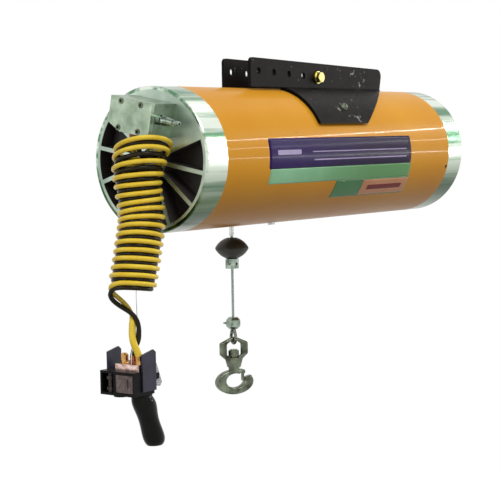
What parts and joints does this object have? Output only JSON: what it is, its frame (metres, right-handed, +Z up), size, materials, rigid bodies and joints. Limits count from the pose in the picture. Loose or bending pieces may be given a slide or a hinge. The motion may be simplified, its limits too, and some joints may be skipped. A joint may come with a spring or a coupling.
{
  "type": "air balancer",
  "caption": "Pneumatic load balancer with a ball-screw rope reel, bracket hanger, swivel hook and a pendant control on twin coiled hoses.",
  "frame": {"origin": "axis of the free hanger hole next to the bolt, midway between the two rails", "axes": "+X along the barrel from the valve end to the plain end, +Y to the rear across the rails, +Z up"},
  "size_m": [0.9905, 0.25, 0.6543],
  "materials": {
    "yellow_paint": "glossy",
    "polished_aluminium": "polished",
    "black_paint": "worn satin",
    "plated_steel": "zinc plated",
    "dark_steel": "oiled",
    "bright_steel": "satin",
    "rope_steel": "stranded",
    "chrome_plate": "bright",
    "brass_metal": "satin",
    "black_rubber": "matte",
    "black_hose": "glossy",
    "yellow_hose": "glossy",
    "black_plastic": "glossy",
    "grey_plastic": "satin",
    "silver_cast": "cast"
  },
  "bodies": {
    "housing": {"barrel": "yellow_paint", "left_cap": "polished_aluminium", "right_cap": "polished_aluminium", "left_seal": "black_rubber", "right_seal": "black_rubber", "ball_screw": "bright_steel", "screw_nut_left": "plated_steel", "screw_nut_right": "plated_steel", "top_plug": "black_plastic", "vent_plug": "bright_steel", "cap_lock_screw": "dark_steel", "rope_guide": "bright_steel", "bracket_front": "black_paint", "bracket_rear": "black_paint", "lug_screws": "dark_steel", "hanger_bolt": "plated_steel", "hanger_washer": "plated_steel", "hanger_nut": "plated_steel", "hanger_spacer": "bright_steel", "manifold_body": "silver_cast", "manifold_cover": "silver_cast", "cover_screws": "dark_steel", "inlet_fitting": "chrome_plate", "hose_fitting_yellow": "brass_metal", "hose_fitting_black": "brass_metal", "hose_coil": "yellow_hose", "hose_black": "black_hose", "hose_yellow": "yellow_hose", "safety_wire": "rope_steel", "valve_block": "black_plastic", "muffler": "brass_metal", "pendant_fitting_black": "brass_metal", "pendant_fitting_yellow": "brass_metal", "handle_head": "black_plastic", "valve_plate": "silver_cast", "valve_spool": "bright_steel", "ear_left": "black_paint", "ear_right": "black_paint", "hand_grip": "black_plastic"},
    "piston": {"piston": "silver_cast", "piston_seal": "black_rubber", "thrust_bearing": "bright_steel"},
    "reel": {"reel": "silver_cast", "ball_nut": "brass_metal"},
    "hook_carriage": {"wire_rope": "rope_steel", "bumper": "black_rubber", "stop_collar": "dark_steel", "collar_screws": "dark_steel", "rope_clamp": "dark_steel", "clamp_screw": "dark_steel", "rope_eye": "rope_steel"},
    "bail": {"bail": "dark_steel"},
    "hook": {"hook": "dark_steel", "swivel_nut": "dark_steel"},
    "latch": {"latch": "dark_steel"},
    "thumb_lever": {"thumb_lever": "grey_plastic"}
  },
  "joints": [
    {"name": "hook_travel", "type": "slide", "parent": "housing", "child": "hook_carriage", "axis": [0, 0, -1], "range_m": [0, 2], "deforming": ["wire_rope"]},
    {"name": "piston_slide", "type": "slide", "parent": "housing", "child": "piston", "axis": [1, 0, 0], "range_m": [-0.1645, 0]},
    {"name": "reel_turn", "type": "hinge", "parent": "piston", "child": "reel", "pos_m": [-0.1075, 0, -0.149], "axis": [1, 0, 0], "range_deg": [-1850, 0]},
    {"name": "bail_swing", "type": "hinge", "parent": "hook_carriage", "child": "bail", "pos_m": [-0.1075, 0.062, -0.5013], "axis": [0.5, 0.866, 0], "range_deg": [-25, 25]},
    {"name": "hook_swivel", "type": "hinge", "parent": "bail", "child": "hook", "pos_m": [-0.1075, 0.062, -0.54], "axis": [0, 0, 1], "continuous": true},
    {"name": "latch_swing", "type": "hinge", "parent": "hook", "child": "latch", "pos_m": [-0.09321, 0.05375, -0.5563], "axis": [0.5, 0.866, 0], "range_deg": [0, 35], "stiffness_Nm_per_rad": 0.05, "springref_deg": -17.19},
    {"name": "lever_press", "type": "hinge", "parent": "housing", "child": "thumb_lever", "pos_m": [-0.4625, -0.026, -0.505], "axis": [0, 1, 0], "range_deg": [-6, 6], "stiffness_Nm_per_rad": 1}
  ],
  "couplings": [
    {"joint": "piston_slide", "follows": "hook_travel", "ratio": -0.082144},
    {"joint": "reel_turn", "follows": "hook_travel", "rad_per_m": -16.129}
  ]
}
